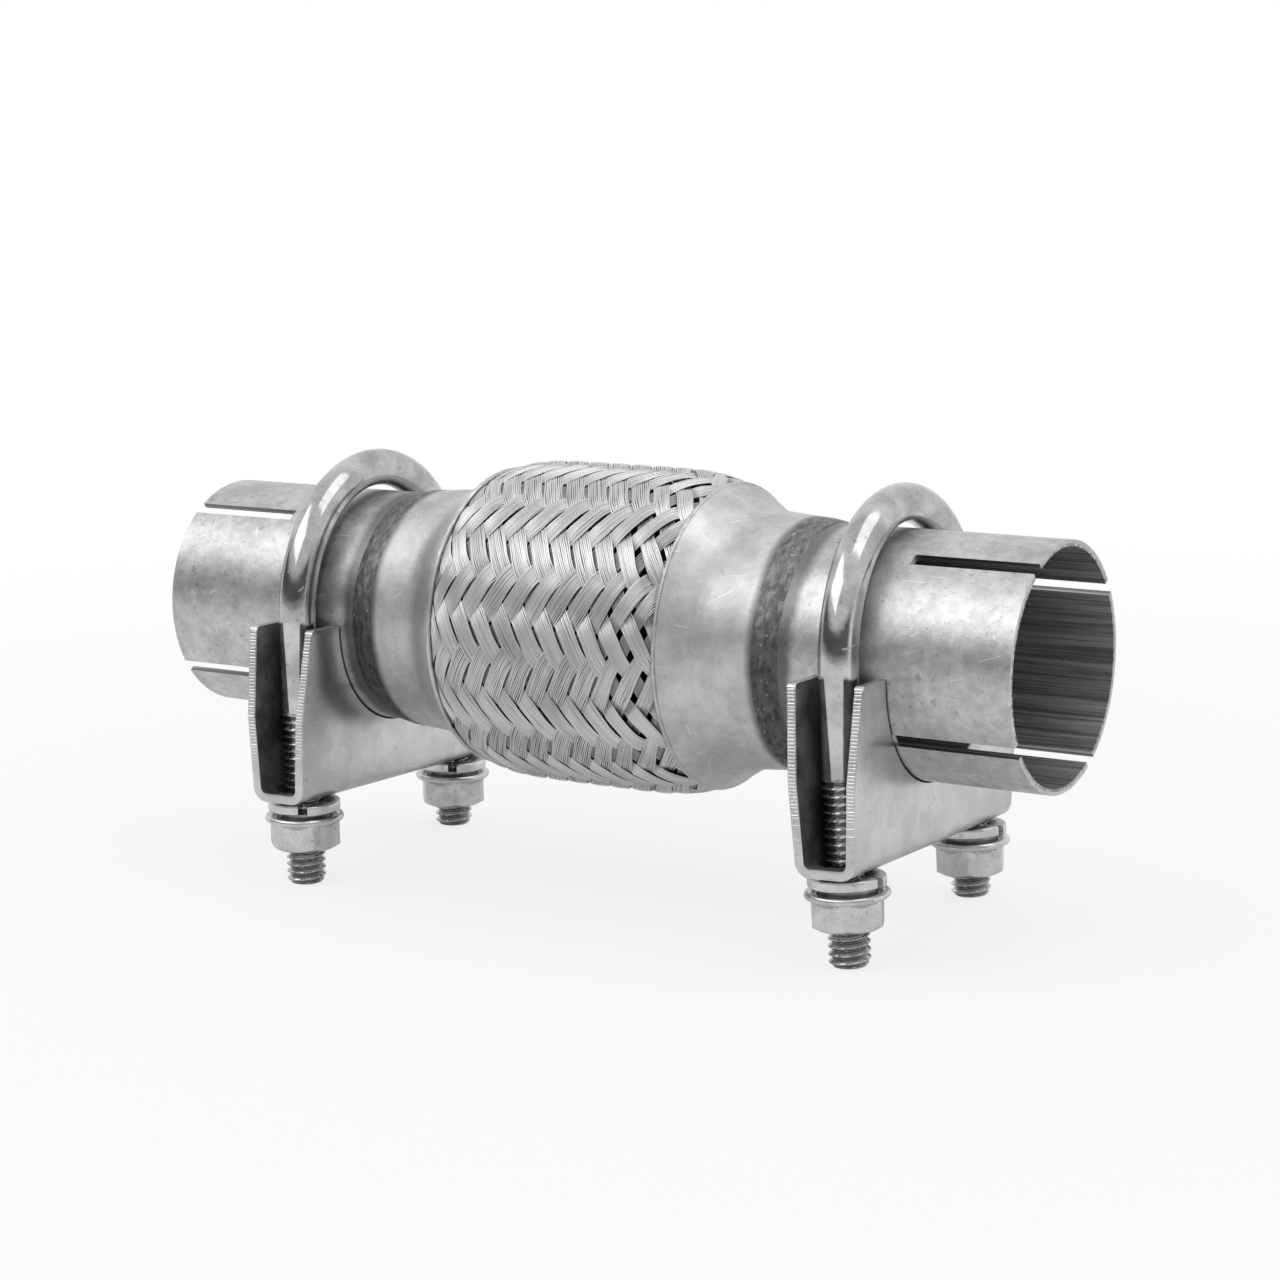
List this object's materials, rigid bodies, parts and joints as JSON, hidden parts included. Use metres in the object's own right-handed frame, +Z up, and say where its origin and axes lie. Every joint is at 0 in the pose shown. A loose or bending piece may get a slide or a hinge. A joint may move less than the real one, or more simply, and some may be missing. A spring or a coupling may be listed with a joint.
{
  "type": "exhaust flex pipe",
  "caption": "Short braided flexible exhaust coupling with domed end collars, slotted tube stubs and a saddle clamp with flange nuts at each end.",
  "frame": {"origin": "on the ground plane under the middle of the pipe, where the clamps' leg ends stand", "axes": "+X along the pipe towards the right stub, +Z up from the leg ends towards the bows"},
  "size_m": [0.194, 0.0744, 0.0871],
  "materials": {
    "stub_tube": "satin aluminised tube",
    "collar": "satin pressed steel",
    "weld": "heat-tinted bead",
    "braid": "woven bright wire",
    "bellows": "thin folded sheet",
    "sleeve": "dull ribbed lining",
    "bow": "bright plated rod",
    "saddle": "pale zinc",
    "nut": "zinc",
    "washer": "zinc spring steel"
  },
  "bodies": {
    "root": {"left_stub": "stub_tube", "right_stub": "stub_tube", "left_collar": "collar", "right_collar": "collar", "left_weld": "weld", "right_weld": "weld", "outer_braid": "braid", "bellows": "bellows", "inner_sleeve": "sleeve", "left_bow": "bow", "right_bow": "bow", "left_saddle": "saddle", "right_saddle": "saddle", "left_near_nut": "nut", "left_far_nut": "nut", "right_near_nut": "nut", "right_far_nut": "nut", "left_near_washer": "washer", "left_far_washer": "washer", "right_near_washer": "washer", "right_far_washer": "washer"}
  },
  "joints": []
}
